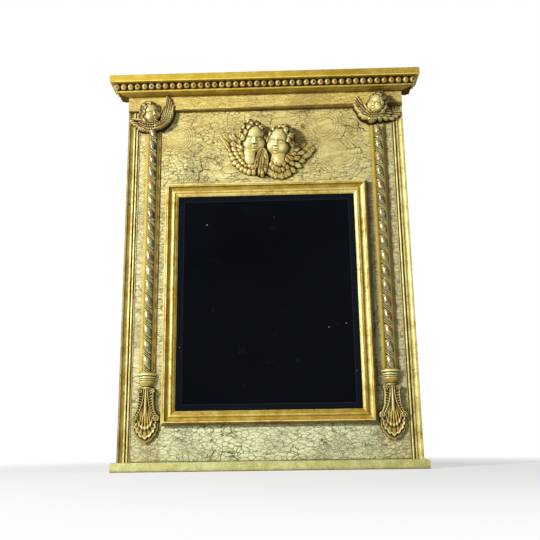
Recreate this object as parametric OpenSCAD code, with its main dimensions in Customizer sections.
// Trumeau mirror: a flat case with a cornice, twisted rope columns, applied
// carvings and a bevelled plate held from behind by turn buttons.
// X runs to the right, Y runs into the wall and Z runs up, in millimetres.
// The origin is the middle of the underside of the bottom board.

/* [Case] */
// Width of the case and of the frieze
case_w = 644; // [600:1:700]
// Height of the case between the bottom board and the cap
case_h = 859; // [840:1:900]
// Thickness of the frieze board
frieze_t = 10; // [8:0.5:14]
// Height of the frieze board, up to the cap
frieze_h = 58.5; // [50:0.5:70]
// Thickness of the face panel
panel_t = 7; // [6:0.5:9]
// How far the face panel reaches into each stile
panel_rebate = 10; // [6:0.5:14]
// Depth of the back rails behind the face panel
rail_t = 7; // [6:0.5:12]
// Height of each back rail, as a share of the space below the plate's cut-out
rail_share = 0.41; // [0.3:0.01:0.45]

/* [Bottom board] */
// How far the bottom board stands out at each side of the case
base_over = 7; // [4:0.5:12]
// Depth of the bottom board, from the wall side to its nose
base_d = 46; // [42:1:60]
// Thickness of the bottom board
base_t = 19; // [14:0.5:24]
// Rounding of the edges of the bottom board and the cap
edge_r = 2; // [1:0.5:3]

/* [Cornice] */
// How far the cap stands out from the frieze, in front and at both sides
cap_over = 38; // [34:0.5:44]
// Thickness of the cap
cap_t = 18; // [14:0.5:22]
// Height of the crown moulding below the cap
crown_h = 21.5; // [20:0.5:25]
// How far the crown fillet stands out from the frieze
crown_out = 21.5; // [20:0.5:24]
// Height of the crown fillet
crown_fillet = 4.5; // [3:0.5:5]
// Width of the flat underside of the crown
crown_soffit = 16; // [12:0.5:18]
// Diameter of a bead
bead_d = 14.6; // [12:0.2:14.8]
// Spacing of the beads
bead_pitch = 16.5; // [16:0.1:19]
// How far the bead centres stand out from the bead strip
bead_out = 4; // [3:0.25:5]
// Thickness of the bead strip
strip_t = 7; // [5:0.5:9]

/* [Side mouldings] */
// Width of the outer fillet
side_fillet = 5; // [4:0.5:7]
// Width of the cove
side_cove = 8; // [6:0.5:9]
// Width of the ridge beside the cove
side_ridge = 3.5; // [2.5:0.5:5]
// Width of each groove
side_groove = 2.5; // [2:0.5:3.5]
// Width of the round bead
side_bead = 4; // [3:0.5:5]
// Width of the inner flat
side_flat = 1.5; // [1:0.5:3]
// Height of the side moulding above the panel
side_rise = 5; // [4:0.5:7]

/* [Mirror frame] */
// Width of the glass that shows
sight_w = 401; // [380:1:415]
// Height of the glass that shows
sight_h = 483; // [460:1:500]
// Share of the free height of the face that lies below the mirror frame
low_share = 0.6035; // [0.5:0.0005:0.7]
// Share of the free height of the face that lies between the frame and the pair of heads
mid_share = 0.104; // [0.05:0.001:0.15]
// Width of the outer fillet of the frame
frame_fillet = 5; // [4:0.5:6]
// Width of the cove of the frame
frame_cove = 9.5; // [8:0.5:11]
// Width of the ridge of the frame
frame_ridge = 5; // [4:0.5:6]
// Width of the slope down to the glass
frame_slope = 9.5; // [8:0.5:11]
// Height of the frame above the panel
frame_rise = 13; // [11:0.5:15]
// Height of the ridge above the panel
ridge_rise = 8; // [6:0.5:9]
// Thickness of the lip over the glass
lip_t = 2.5; // [2:0.5:4]
// Overlap of the lip on the plate
lip_over = 6; // [4:0.5:8]

/* [Mirror plate] */
// Thickness of the bevelled plate
plate_t = 4; // [3:0.5:5]
// Width of the bevel
bevel_w = 19; // [12:0.5:25]
// Depth of the bevel at the edge of the plate
bevel_t = 1.5; // [1:0.25:2]
// Clearance around the plate in its cut-out
plate_gap = 1; // [0.5:0.25:2]

/* [Columns] */
// Width of the flat strip behind the rope
pilaster_w = 34; // [30:0.5:38]
// Thickness of the flat strip
pilaster_t = 3; // [2:0.5:4]
// Diameter of the rope
rope_d = 19; // [16:0.5:22]
// Distance from one rope lobe to the next
rope_pitch = 33.5; // [30:0.5:38]
// Depth of the grooves between the rope lobes
rope_groove = 2.2; // [1.5:0.1:3]
// Distance of the rope axis in front of the strip
rope_seat = 4; // [3:0.5:5]
// Distance of the rope's top below the frieze
rope_drop = 49.5; // [44:0.5:56]

/* [Corbels] */
// Height of the top of the corbel cup above the bottom board
cup_z = 188; // [180:1:200]
// Width of the rim of the corbel cup
cup_w = 39; // [36:0.5:42]
// Height of the corbel cup
cup_h = 35; // [32:0.5:38]
// Height of the shell drop under the cup
drop_h = 114; // [105:1:118]
// Clearance of the shell drop's scrolls from the frame and from the side moulding
drop_gap = 3.75; // [2:0.25:6]
// How far the shell drop stands out from the panel
drop_rise = 16; // [12:0.5:20]

/* [Carvings] */
// Diameter of each head of the pair
pair_head = 56; // [50:1:60]
// Distance between the two heads of the pair
pair_span = 61; // [58:1:62]
// How far the heads of the pair stand out from the panel
pair_rise = 32; // [28:1:36]
// Diameter of the head of a corner cherub
corner_head = 41; // [36:0.5:44]
// How far the head of a corner cherub stands out from the frieze
corner_rise = 23; // [20:0.5:26]
// Width of one carved feather
feather_w = 13; // [11:0.5:15]
// Thickness of the feathers at a wing's edge
feather_t = 6; // [5:0.5:8]
// How much each feather stands above the one before it
feather_step = 0.6; // [0.4:0.1:1]

/* [Fittings] */
// Length of a turn button
button_l = 30; // [26:0.5:34]
// Width of a turn button
button_w = 10; // [9:0.5:12]
// Thickness of a turn button
button_t = 1.6; // [1.2:0.1:2.5]
// Reach of a turn button over the backing board
button_reach = 8; // [6:0.5:10]
// Diameter of the shank of every screw
screw_d = 3.5; // [3:0.1:4]
// Diameter of the head of every screw
screw_head_d = 7; // [6.5:0.1:8]
// Height of a round screw head
screw_head_t = 2; // [1.5:0.1:2.4]
// Length of the short screws in the stiles
screw_short = 8; // [7:0.5:8.5]
// Length of the long screws in the bottom board and the cap
screw_long = 38; // [32:1:45]
// Depth of the long screws' heads below the surface
screw_sink = 0.5; // [0.25:0.25:1.5]
// Width of the hanger strap
strap_w = 12; // [10:0.5:13]
// Thickness of the hanger strap
strap_steel = 1; // [0.8:0.1:1.4]
// Length of the hanger strap below the ring's bar
strap_l = 47; // [45:1:55]
// Height of the ring's bar above the bottom board
hanger_z = 700; // [600:5:740]
// Diameter of the ring's wire
wire_d = 2.6; // [2.2:0.1:3]
// Width of the ring between the middles of its legs
ring_w = 17; // [16:0.5:19]
// Length of the ring's straight legs
ring_leg = 8; // [6:0.5:9]
// Diameter of a wall bumper
bumper_d = 12; // [10:0.5:14]
// Thickness of a wall bumper
bumper_t = 5.5; // [5.5:0.25:8]

/* [Clearances] */
// Running clearance of a turning piece on its pin, on the radius
run_gap = 0.05; // [0.02:0.01:0.1]
// Gap between faces that move over each other
face_gap = 0.2; // [0.15:0.05:0.3]
// Hairline at the mitres of the bead strips
mitre_gap = 0.05; // [0.03:0.01:0.1]
// Gap between the hanger knuckle and the stile
knuckle_gap = 0.3; // [0.2:0.05:0.5]

/* [Hidden] */
$fn = 48;

gilt = [0.80, 0.66, 0.28];
dark_gilt = [0.60, 0.47, 0.18];
cream = [0.86, 0.79, 0.52];
plain_wood = [0.66, 0.50, 0.32];
steel = [0.70, 0.71, 0.72];
dark_rubber = [0.15, 0.15, 0.15];

// Depth planes, from the wall side to the front
back_y = base_d / 2;
panel_back = back_y - rail_t;
panel_y = panel_back - panel_t;
frieze_y = panel_y - frieze_t;
pilaster_y = panel_y - pilaster_t;

// Heights
case_top = base_t + case_h;
frieze_z = case_top - frieze_h;
crown_z = case_top - crown_h;
case_half = case_w / 2;
mitre = 60;

// Side moulding and stile
side_w = side_fillet + side_cove + side_ridge + 2 * side_groove + side_bead + side_flat;
stile_w = side_w;
stile_x = case_half - stile_w;
panel_half = stile_x + panel_rebate;

// Mirror frame, plate and cut-out
frame_w = frame_fillet + frame_cove + frame_ridge + frame_slope;
sight_x = sight_w / 2;
frame_x = sight_x + frame_w;
frame_h = sight_h + 2 * frame_w;
pair_room = 2.4 * pair_head;
free_h = frieze_z - base_t - frame_h - pair_room;
frame_lo = base_t + low_share * free_h;
frame_hi = frame_lo + frame_h;
sight_lo = frame_lo + frame_w;
sight_hi = frame_hi - frame_w;
plate_x = sight_x + lip_over;
plate_lo = sight_lo - lip_over;
plate_hi = sight_hi + lip_over;
cut_x = plate_x + plate_gap;
cut_lo = plate_lo - plate_gap;
cut_hi = plate_hi + plate_gap;
rail_h = rail_share * (cut_lo - base_t);
plate_y = panel_y - bevel_t * (bevel_w - lip_over) / bevel_w + run_gap;
plate_back = plate_y + plate_t;

// Column, rope, cup and drop: the column stands midway between the frame and the side moulding
column_x = (stile_x + frame_x) / 2;
drop_half = (stile_x - frame_x) / 2 - drop_gap;
rope_y = pilaster_y - rope_seat;
rope_r = rope_d / 2;
cup_top = base_t + cup_z;
cup_low = cup_top - cup_h;
rope_top = frieze_z - rope_drop;
rope_sides = 12;
rope_steps = 8;

// Screws, buttons and hangers
screw_r = screw_d / 2;
head_r = screw_head_d / 2;
button_arm = button_l * 2 / 3;
button_off = button_arm - button_reach;
button_y = panel_back + face_gap;
button_bite = panel_t * 0.7;
button_screw = button_bite + button_t + 2 * face_gap;
button_side_z = sight_h / 4;
knuckle_r = wire_d / 2 + run_gap + strap_steel;
knuckle_y = back_y + knuckle_r + knuckle_gap;
hanger_x = case_half - stile_w / 2;
hanger_top = base_t + hanger_z;
strap_hole_1 = strap_l * 0.575;
strap_hole_2 = strap_l * 0.87;
stile_mid_y = (panel_back + back_y) / 2;
bumper_x = case_half - stile_w / 2;
bumper_edge = 30;

// Points of an arc around [cx, cy] from angle a to angle b
function arc(cx, cy, r, a, b, n = 6) =
    [for (i = [0:n]) let (t = a + (b - a) * i / n) [cx + r * cos(t), cy + r * sin(t)]];
// Points of a shallow curve from p to q that bulges by b to the left of its way
function bow(p, q, b, n = 6) =
    let (d = q - p, l = norm(d), s = [-d[1], d[0]] / l)
    [for (i = [0:n]) let (t = i / n) p + d * t + s * b * 4 * t * (1 - t)];
// Rectangle with its corners listed as 1 rounded by r: low-left, low-right, high-right, high-left
function round_box(x0, y0, x1, y1, r, c = [1, 1, 1, 1]) = concat(
    c[0] ? arc(x0 + r, y0 + r, r, 180, 270, 4) : [[x0, y0]],
    c[1] ? arc(x1 - r, y0 + r, r, 270, 360, 4) : [[x1, y0]],
    c[2] ? arc(x1 - r, y1 - r, r, 0, 90, 4) : [[x1, y1]],
    c[3] ? arc(x0 + r, y1 - r, r, 90, 180, 4) : [[x0, y1]]);

// Prisms along X, Y and Z: the outline is given in (Y, Z), (X, Z) and (X, Y)
module bar_x(x0, x1, p) translate([x0, 0, 0]) rotate([90, 0, 90]) linear_extrude(x1 - x0) polygon(p);
module bar_y(y0, y1, p) translate([0, y1, 0]) rotate([90, 0, 0]) linear_extrude(y1 - y0) polygon(p);
module bar_z(z0, z1, p) translate([0, 0, z0]) linear_extrude(z1 - z0) polygon(p);
module block(x0, y0, z0, x1, y1, z1) translate([x0, y0, z0]) cube([x1 - x0, y1 - y0, z1 - z0]);
module mirrored(s) mirror([s < 0 ? 0 : 1, 0, 0]) children();

// Board with rounded front and side edges
module nosed_board(half, y0, y1, z0, z1) {
    intersection() {
        bar_x(-half, half, round_box(y0, z0, y1, z1, edge_r, [1, 0, 0, 1]));
        bar_y(y0, y1, round_box(-half, z0, half, z1, edge_r));
    }
}

// Screws point along +Z into their seat, with the head's seat at z = 0
module round_screw(l) {
    cylinder(h = l, r = screw_r);
    translate([0, 0, -screw_head_t]) cylinder(h = screw_head_t, r = head_r);
}
module flat_screw(l, gap = 0) {
    translate([0, 0, screw_sink]) rotate_extrude()
        polygon([[0, 0], [head_r + gap, 0], [screw_r + gap, head_r - screw_r], [screw_r + gap, l + gap],
            [0, l + gap]]);
}
// Hole for a flat screw, open at the surface z = 0
module screw_hole(l) {
    flat_screw(l, run_gap);
    translate([0, 0, -1]) cylinder(h = 1 + screw_sink, r = head_r + run_gap);
}

// Places of the six turn buttons: [x, z, angle of the long arm from +X towards +Z]
button_places = [
    [-cut_x - button_off, cut_lo + button_side_z, 0],
    [-cut_x - button_off, cut_hi - button_side_z, 0],
    [cut_x + button_off, cut_hi - button_side_z, 180],
    [cut_x + button_off, cut_lo + button_side_z, 180],
    [0, cut_hi + button_off, 270],
    [0, cut_lo - button_off, 90]];

module panel_board() {
    color(cream) difference() {
        block(-panel_half, panel_y, base_t, panel_half, panel_back, case_top);
        block(-cut_x, panel_y - 1, cut_lo, cut_x, panel_back + 1, cut_hi);
        for (p = button_places)
            translate([p[0], panel_back + 1, p[1]]) rotate([90, 0, 0])
                cylinder(h = 1 + button_bite + run_gap, r = screw_r + run_gap);
    }
}

// Stile at the left edge; the right one is its mirror image
module stile() {
    color(plain_wood) difference() {
        block(-case_half, panel_y, base_t, -stile_x, back_y, case_top);
        block(-panel_half, panel_y - 1, base_t - 1, -stile_x + 1, panel_back, case_top + 1);
        for (z = [strap_hole_1, strap_hole_2])
            translate([-hanger_x, back_y + 1, hanger_top - z]) rotate([90, 0, 0])
                cylinder(h = screw_short + 1, r = screw_r + run_gap);
        translate([-hanger_x, stile_mid_y, 0]) screw_hole(screw_long);
        translate([-hanger_x, stile_mid_y, case_top + cap_t]) rotate([180, 0, 0]) screw_hole(screw_long);
    }
}
module stile_left() stile();
module stile_right() mirrored(1) stile();

module rail_top() color(plain_wood)
    block(-stile_x, panel_back, case_top - rail_h, stile_x, back_y, case_top);
module rail_bottom() color(plain_wood)
    block(-stile_x, panel_back, base_t, stile_x, back_y, base_t + rail_h);
module frieze_board() color(cream)
    block(-case_half, frieze_y, frieze_z, case_half, panel_y, case_top);

module bottom_board() {
    color(gilt) difference() {
        nosed_board(case_half + base_over, -base_d / 2, back_y, 0, base_t);
        for (x = [-hanger_x, hanger_x])
            translate([x, stile_mid_y, 0]) screw_hole(screw_long);
    }
}
module cap_board() {
    color(gilt) difference() {
        nosed_board(case_half + cap_over, frieze_y - cap_over, back_y, case_top, case_top + cap_t);
        for (x = [-hanger_x, hanger_x])
            translate([x, stile_mid_y, case_top + cap_t]) rotate([180, 0, 0]) screw_hole(screw_long);
    }
}

// Plan regions of the mitred cornice: in front of the frieze, and beside the case
front_plan = [[-case_half, frieze_y], [-case_half - mitre, frieze_y - mitre],
    [case_half + mitre, frieze_y - mitre], [case_half, frieze_y]];
left_plan = [[-case_half, frieze_y], [-case_half - mitre, frieze_y - mitre],
    [-case_half - mitre, back_y], [-case_half, back_y]];
// The same region drawn back by the hairline that the mitred beads leave open
left_bead_plan = [[-case_half, frieze_y + mitre_gap], [-case_half - mitre, frieze_y - mitre + mitre_gap],
    [-case_half - mitre, back_y], [-case_half, back_y]];

// Crown section: distance out from the frieze, then height
strip_in = crown_out - strip_t;
crown_section = concat([[0, crown_z]], [[crown_soffit, crown_z]],
    bow([crown_soffit, crown_z + 0.8], [crown_out, crown_z + 2], 0.6, 4),
    [[crown_out, crown_z + 2 + crown_fillet], [strip_in, crown_z + 2 + crown_fillet],
        [strip_in, case_top], [0, case_top]]);
strip_z = crown_z + 2 + crown_fillet;
bead_z = case_top - bead_d / 2 - 0.6;
bead_line = crown_out + bead_out;
bead_half = case_half + bead_line;
bead_gaps = round(2 * bead_half / bead_pitch);
bead_step = 2 * bead_half / bead_gaps;
side_beads = floor((back_y - frieze_y + bead_line) / bead_step);

module crown_front() {
    color(gilt) intersection() {
        bar_x(-case_half - mitre, case_half + mitre, [for (p = crown_section) [frieze_y - p[0], p[1]]]);
        bar_z(crown_z - 1, case_top + 1, front_plan);
    }
}
module crown_side() {
    color(gilt) intersection() {
        bar_y(frieze_y - mitre, back_y, [for (p = crown_section) [-case_half - p[0], p[1]]]);
        bar_z(crown_z - 1, case_top + 1, left_plan);
    }
}
module crown_left() crown_side();
module crown_right() mirrored(1) crown_side();

module bead_strip_front() {
    color(gilt) intersection() {
        union() {
            block(-case_half - mitre, frieze_y - crown_out, strip_z, case_half + mitre,
                frieze_y - strip_in, case_top);
            for (i = [0:bead_gaps])
                translate([-bead_half + i * bead_step, frieze_y - bead_line, bead_z]) sphere(d = bead_d);
        }
        bar_z(crown_z - 1, case_top + 1, front_plan);
    }
}
module bead_strip_side() {
    color(gilt) intersection() {
        union() {
            block(-case_half - crown_out, frieze_y - mitre, strip_z, -case_half - strip_in,
                back_y, case_top);
            for (i = [0:side_beads])
                translate([-bead_half, frieze_y - bead_line + i * bead_step, bead_z]) sphere(d = bead_d);
        }
        bar_z(crown_z - 1, case_top + 1, left_bead_plan);
    }
}
module bead_strip_left() bead_strip_side();
module bead_strip_right() mirrored(1) bead_strip_side();

// Side moulding section: distance in from the outer edge, then height above the panel
side_1 = side_fillet;
side_2 = side_1 + side_cove;
side_3 = side_2 + side_ridge;
side_4 = side_3 + side_groove;
side_5 = side_4 + side_bead;
side_6 = side_5 + side_groove;
side_low = side_rise - 2.5;
side_section = concat([[0, 0]], arc(1, side_rise - 1, 1, 180, 90, 4),
    bow([side_1, side_rise], [side_2, side_low - 0.8], -1.2),
    [[side_2, side_low], [side_3, side_low], [side_3, 1], [side_4, 1]],
    arc((side_4 + side_5) / 2, 1, side_bead / 2, 180, 0, 8),
    [[side_5, 0.8], [side_6, 0.8], [side_6, 1.6], [side_w, 1.6], [side_w, 0]]);
module side_moulding() color(gilt) translate([-case_half, panel_y, 0])
    bar_z(base_t, frieze_z, [for (p = side_section) [p[0], -p[1]]]);
module side_moulding_left() side_moulding();
module side_moulding_right() mirrored(1) side_moulding();

// Mirror frame section: distance in from the outer edge, then height above the panel
frame_1 = frame_fillet;
frame_2 = frame_1 + frame_cove;
frame_3 = frame_2 + frame_ridge;
frame_section = concat([[0, 0]], arc(1.2, frame_rise - 1.2, 1.2, 180, 90, 4),
    [[frame_1 - 0.5, frame_rise], [frame_1, frame_rise - 0.8]],
    bow([frame_1, frame_rise - 0.8], [frame_2, ridge_rise - 1.5], -1.8),
    arc(frame_2 + frame_ridge / 2, ridge_rise - 1, frame_ridge / 2, 170, 10, 6),
    bow([frame_3, ridge_rise - 1.6], [frame_w, lip_t], 0.6),
    [[frame_w, 0]]);

// One side of the mirror frame, standing at x = 0 from z = lo to z = hi, mitred at both ends
module frame_side(lo, hi) {
    intersection() {
        translate([0, panel_y, 0]) bar_z(lo, hi, [for (p = frame_section) [p[0], -p[1]]]);
        bar_y(panel_y - 2 * frame_rise, panel_y + 1,
            [[0, lo], [frame_w, lo + frame_w], [frame_w, hi - frame_w], [0, hi]]);
    }
}
module mirror_frame_left() color(gilt) translate([-frame_x, 0, 0]) frame_side(frame_lo, frame_hi);
module mirror_frame_right() mirrored(1) mirror_frame_left();
module mirror_frame_bottom() color(gilt) translate([0, 0, frame_lo]) rotate([0, -90, 0])
    frame_side(-frame_x, frame_x);
module mirror_frame_top() color(gilt) translate([0, 0, frame_hi]) rotate([0, 90, 0])
    frame_side(-frame_x, frame_x);

// Plate section along one axis: a slab from y = plate_y whose front edges slope back
function plate_section(a, b) = [[a, plate_back], [a, plate_y + bevel_t], [a + bevel_w, plate_y],
    [b - bevel_w, plate_y], [b, plate_y + bevel_t], [b, plate_back]];
module mirror_plate() {
    color("slategray") intersection() {
        bar_z(plate_lo, plate_hi, plate_section(-plate_x, plate_x));
        bar_x(-plate_x, plate_x, [for (p = plate_section(plate_lo, plate_hi)) [p[1], p[0]]]);
    }
}
module backing_board() color("peru")
    block(-plate_x, plate_back, plate_lo, plate_x, panel_back, plate_hi);

module pilaster() color(cream)
    block(-column_x - pilaster_w / 2, pilaster_y, cup_top, -column_x + pilaster_w / 2, panel_y, frieze_z);
module pilaster_left() pilaster();
module pilaster_right() mirrored(1) pilaster();

// Rope: two lobes wind around it in each turn, and its back is flat on the strip.
// The radius drops into a groove where the phase height / pitch + angle / 180 is whole.
function rope_radius(a, z) = rope_r - rope_groove * pow(abs(cos(180 * (z / rope_pitch + a / 180))), 3);
function rope_ring(z) = concat([[-rope_r + 1.5, rope_seat, z]],
    [for (i = [0:rope_sides]) let (a = -100 + 200 * i / rope_sides, r = rope_radius(a, z))
        [r * sin(a), -r * cos(a), z]],
    [[rope_r - 1.5, rope_seat, z]]);
rope_h = rope_top - cup_top;
rope_rings = ceil(rope_h / rope_pitch * rope_steps);
module rope(x) {
    n = rope_sides + 3;
    points = [for (k = [0:rope_rings]) each rope_ring(rope_h * k / rope_rings)];
    sides = [for (k = [0:rope_rings - 1], i = [0:n - 1])
        let (j = (i + 1) % n, a = k * n + i, b = k * n + j, c = b + n, d = a + n)
        each [[a, c, b], [a, d, c]]];
    ends = [[for (i = [0:n - 1]) i], [for (i = [n - 1:-1:0]) rope_rings * n + i]];
    color(gilt) translate([x, rope_y, cup_top]) polyhedron(points, concat(sides, ends));
}
module rope_left() rope(-column_x);
module rope_right() rope(column_x);

// Corbel cup: a turned bowl with rolled rims, cut flat at the panel
cup_section = concat([[0, 0], [cup_w / 2 - 4, 0]],
    bow([cup_w / 2 - 4, 0], [cup_w / 2 - 4, 4], -1.4),
    bow([cup_w / 2 - 5.5, 5], [cup_w / 2 - 0.8, cup_h - 13], -2.4),
    bow([cup_w / 2 - 0.8, cup_h - 13], [cup_w / 2 - 0.8, cup_h - 7], -0.8),
    [[cup_w / 2 - 2.5, cup_h - 6]],
    bow([cup_w / 2 - 2.5, cup_h - 5], [cup_w / 2 - 2.5, cup_h], -1.2),
    [[0, cup_h]]);
module corbel_cup(x) {
    color(gilt) intersection() {
        translate([x, panel_y, cup_low]) rotate_extrude() polygon(cup_section);
        block(x - cup_w, panel_y - cup_w, cup_low - 1, x + cup_w, panel_y, cup_top + 1);
    }
}
module corbel_cup_left() corbel_cup(-column_x);
module corbel_cup_right() corbel_cup(column_x);

// Corbel drop: its front outline with two scrolls and a shell, cut by its side outline
drop_share = drop_half / 29;
drop_edge = concat(
    bow([18, 0], [18.5, -44] , 3.5),
    bow([18.5, -44], [26, -57], -0.6, 3),
    arc(23.5, -65, 6, 70, -70, 6),
    [for (i = [0:4]) [26 - 2.2 * i, -78 - 6.5 * i]],
    arc(0, -96, 15, -20, -90, 5));
drop_front = [for (p = drop_edge) [p[0] * drop_share, p[1] * drop_h / 111]];
drop_side = concat([[0, -drop_h - 1], [0, 1], [-drop_rise * 0.8, 1]],
    bow([-drop_rise * 0.8, 0], [-drop_rise * 0.7, -45], -2),
    bow([-drop_rise * 0.7, -45], [-drop_rise * 0.6, -drop_h + 6], 4),
    [[-drop_rise * 0.25, -drop_h - 1]]);
module corbel_drop(x) {
    color(dark_gilt) translate([x, panel_y, cup_low]) {
        intersection() {
            bar_y(-2 * drop_rise, 0, concat(drop_front, [for (i = [len(drop_front) - 1:-1:0])
                [-drop_front[i][0], drop_front[i][1]]]));
            bar_x(-2 * drop_half, 2 * drop_half, drop_side);
        }
    }
}
module corbel_drop_left() corbel_drop(-column_x);
module corbel_drop_right() corbel_drop(column_x);

// Feather: a tongue of length l along +X in the X-Z plane, its back at y = 0
function feather_half(s, w) = w / 2 * (0.55 + 0.45 * s) * sqrt(1 - pow(s, 5));
module feather(l, w, t) {
    steps = 8;
    upper = [for (i = [0:steps]) let (s = i / steps) [l * s, feather_half(s, w)]];
    lower = [for (i = [steps - 1:-1:0]) let (s = i / steps) [l * s, -feather_half(s, w)]];
    bar_y(-t, 0, concat(upper, lower));
}
// Wing: feathers fanned from one root; each is [angle, length in units of k], thicker one by one
module wing(x, z, k, feathers) {
    for (i = [0:len(feathers) - 1])
        translate([x * k, 0, z * k]) rotate([0, -feathers[i][0], 0])
            feather(feathers[i][1] * k, feather_w, feather_t + feather_step * i);
}
// Ball cut flat at y = 0
module relief_ball(x, y, z, d) {
    intersection() {
        translate([x, y, z]) sphere(d = d);
        block(x - d, y - d, z - d, x + d, 0, z + d);
    }
}
// Hair behind a head: a disc of thickness t whose edge has nine soft curls
module hair(x, z, r, t) {
    translate([x, 0, z]) bar_y(-t, 0, [for (i = [0:44]) let (a = 8 * i, q = r + 2.5 * abs(cos(4.5 * a)))
        [q * cos(a), q * sin(a)]]);
}

// Oval with the half widths a and b
function oval(a, b) = [for (i = [0:35]) [a * cos(10 * i), b * sin(10 * i)]];

// The pair's shapes are given in millimetres for heads of 56 mm, and grow with the heads
pair_unit = pair_head / 56;
pair_low = 59 * pair_unit;
pair_z = frame_hi + mid_share * free_h + pair_low;
pair_mid = 2 * pair_unit;
middle_wing = [14 * pair_unit, 29 * pair_unit];
middle_rim = 4 * pair_unit;
module cherub_pair() {
    color(dark_gilt) translate([pair_mid, panel_y, pair_z]) {
        for (s = [-1, 1]) {
            relief_ball(s * pair_span / 2, pair_head / 2 - pair_rise, (32.5 - 3.5 * s) * pair_unit,
                pair_head);
            relief_ball(s * pair_span / 2, 3 * pair_unit, (-12 - 6 * s) * pair_unit, pair_head * 0.7);
            hair(s * pair_span / 2, (33 - 3.5 * s) * pair_unit, pair_head / 2, pair_rise / 2);
            hair(s * pair_span / 2 - 2, (-26 - 4 * s) * pair_unit, pair_head / 2 - 2, feather_t + 3.3);
        }
        wing(-47, -25, pair_unit, [[113, 80], [126, 88], [139, 70], [153, 52], [168, 44], [185, 40],
            [203, 38], [222, 36], [242, 34]]);
        wing(46, -17, pair_unit, [[29, 66], [16, 57], [3, 48], [-12, 44], [-28, 40], [-45, 38], [-62, 36]]);
        // Cupped middle wing with a raised rim
        translate([-10 * pair_unit, 0, -28 * pair_unit]) difference() {
            bar_y(-pair_rise / 2 - 2, 0, oval(middle_wing[0], middle_wing[1]));
            bar_y(-pair_rise / 2 - 3, -pair_rise / 2 + 2, oval(middle_wing[0] - middle_rim,
                middle_wing[1] - middle_rim));
        }
    }
}

// The corner cherub's shapes are given in millimetres for a head of 41 mm, and grow with it
corner_unit = corner_head / 41;
corner_x = column_x + 4 * corner_unit;
corner_z = frieze_z - 3 * corner_unit;
module corner_cherub() {
    color(dark_gilt) {
        translate([-corner_x, frieze_y, corner_z]) {
            relief_ball(0, corner_head / 2 - corner_rise, 0, corner_head);
            relief_ball(3 * corner_unit, -corner_unit, -27 * corner_unit, corner_head * 0.7);
            hair(0, 2 * corner_unit, corner_head / 2, corner_rise / 2);
            wing(12, -26, corner_unit, [[82, 50], [71, 60], [59, 58], [44, 44], [26, 34], [5, 26],
                [-20, 20]]);
            wing(-8, -24, corner_unit, [[178, 40], [192, 38], [206, 36], [220, 34], [236, 30]]);
        }
        block(-column_x - pilaster_w / 2 + 3, frieze_y - 1, rope_top, -column_x + pilaster_w / 2 - 3,
            pilaster_y, frieze_z);
    }
}
module corner_cherub_left() corner_cherub();
module corner_cherub_right() mirrored(1) corner_cherub();

// Turn button on its screw, turning about Y; the long arm lies over the backing board
module turn_button(i) {
    p = button_places[i];
    short_arm = button_l - button_arm;
    r = button_w / 2;
    color(steel) translate([p[0], button_y, p[1]]) rotate([0, -p[2], 0]) rotate([-90, 0, 0]) difference() {
        union() {
            translate([-short_arm + r, -r, 0]) cube([button_l - 2 * r, button_w, button_t]);
            translate([-short_arm + r, 0, 0]) cylinder(h = button_t, r = r);
            translate([button_arm - r, 0, 0]) cylinder(h = button_t, r = r);
        }
        translate([0, 0, -1]) cylinder(h = button_t + 2, r = screw_r + run_gap);
    }
}
module turn_button_1() turn_button(0);
module turn_button_2() turn_button(1);
module turn_button_3() turn_button(2);
module turn_button_4() turn_button(3);
module turn_button_5() turn_button(4);
module turn_button_6() turn_button(5);
module turn_button_screws() {
    color(steel) for (p = button_places)
        translate([p[0], button_y + button_t + face_gap, p[1]]) rotate([90, 0, 0]) round_screw(button_screw);
}

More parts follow.
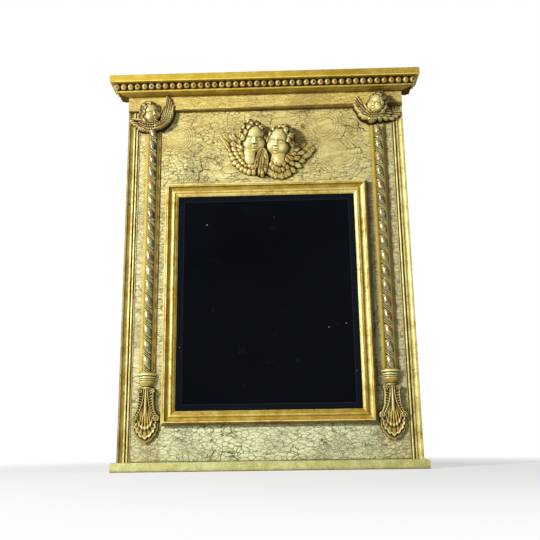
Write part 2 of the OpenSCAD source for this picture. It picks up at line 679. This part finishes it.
// Hanger: a strap with a rolled knuckle at its top, and a ring that hangs from the knuckle
module hanger_strap(x) {
    color(steel) difference() {
        union() {
            block(x - strap_w / 2, back_y, hanger_top - strap_l, x + strap_w / 2, back_y + strap_steel,
                hanger_top);
            translate([x - strap_w / 2, knuckle_y, hanger_top]) rotate([0, 90, 0])
                cylinder(h = strap_w, r = knuckle_r);
        }
        translate([x - strap_w, knuckle_y, hanger_top]) rotate([0, 90, 0])
            cylinder(h = 2 * strap_w, r = wire_d / 2 + run_gap);
        for (z = [strap_hole_1, strap_hole_2])
            translate([x, back_y + strap_steel + 1, hanger_top - z]) rotate([90, 0, 0])
                cylinder(h = strap_steel + 2, r = screw_r + run_gap);
    }
}
module hanger_strap_left() hanger_strap(-hanger_x);
module hanger_strap_right() hanger_strap(hanger_x);
module hanger_ring(x) {
    r = wire_d / 2;
    color(steel) translate([x, knuckle_y, hanger_top]) {
        translate([-ring_w / 2, 0, 0]) rotate([0, 90, 0]) cylinder(h = ring_w, r = r);
        for (s = [-1, 1]) {
            translate([s * ring_w / 2, 0, -ring_leg]) cylinder(h = ring_leg, r = r);
            translate([s * ring_w / 2, 0, 0]) sphere(r = r);
        }
        translate([0, 0, -ring_leg]) rotate([90, 0, 0]) rotate([0, 0, 180])
            rotate_extrude(angle = 180) translate([ring_w / 2, 0]) circle(r = r);
    }
}
module hanger_ring_left() hanger_ring(-hanger_x);
module hanger_ring_right() hanger_ring(hanger_x);
module hanger_screws() {
    color(steel) for (x = [-hanger_x, hanger_x], z = [strap_hole_1, strap_hole_2])
        translate([x, back_y + strap_steel, hanger_top - z]) rotate([90, 0, 0]) round_screw(screw_short);
}

module wall_bumpers() {
    color(dark_rubber) for (x = [-bumper_x, bumper_x], z = [base_t + bumper_edge, case_top - bumper_edge])
        translate([x, back_y, z]) rotate([-90, 0, 0]) rotate_extrude()
            polygon([[0, 0], [bumper_d / 2, 0], [bumper_d / 2, bumper_t - 1.5],
                [bumper_d / 2 - 1.5, bumper_t], [0, bumper_t]]);
}
module bottom_board_screws() {
    color(steel) for (x = [-hanger_x, hanger_x])
        translate([x, stile_mid_y, 0]) flat_screw(screw_long);
}
module cap_screws() {
    color(steel) for (x = [-hanger_x, hanger_x])
        translate([x, stile_mid_y, case_top + cap_t]) rotate([180, 0, 0]) flat_screw(screw_long);
}

panel_board();
stile_left();
stile_right();
rail_top();
rail_bottom();
frieze_board();
bottom_board();
cap_board();
crown_front();
crown_left();
crown_right();
bead_strip_front();
bead_strip_left();
bead_strip_right();
side_moulding_left();
side_moulding_right();
pilaster_left();
pilaster_right();
rope_left();
rope_right();
corner_cherub_left();
corner_cherub_right();
cherub_pair();
corbel_cup_left();
corbel_cup_right();
corbel_drop_left();
corbel_drop_right();
mirror_frame_top();
mirror_frame_bottom();
mirror_frame_left();
mirror_frame_right();
mirror_plate();
backing_board();
turn_button_1();
turn_button_2();
turn_button_3();
turn_button_4();
turn_button_5();
turn_button_6();
turn_button_screws();
hanger_strap_left();
hanger_strap_right();
hanger_ring_left();
hanger_ring_right();
hanger_screws();
wall_bumpers();
bottom_board_screws();
cap_screws();
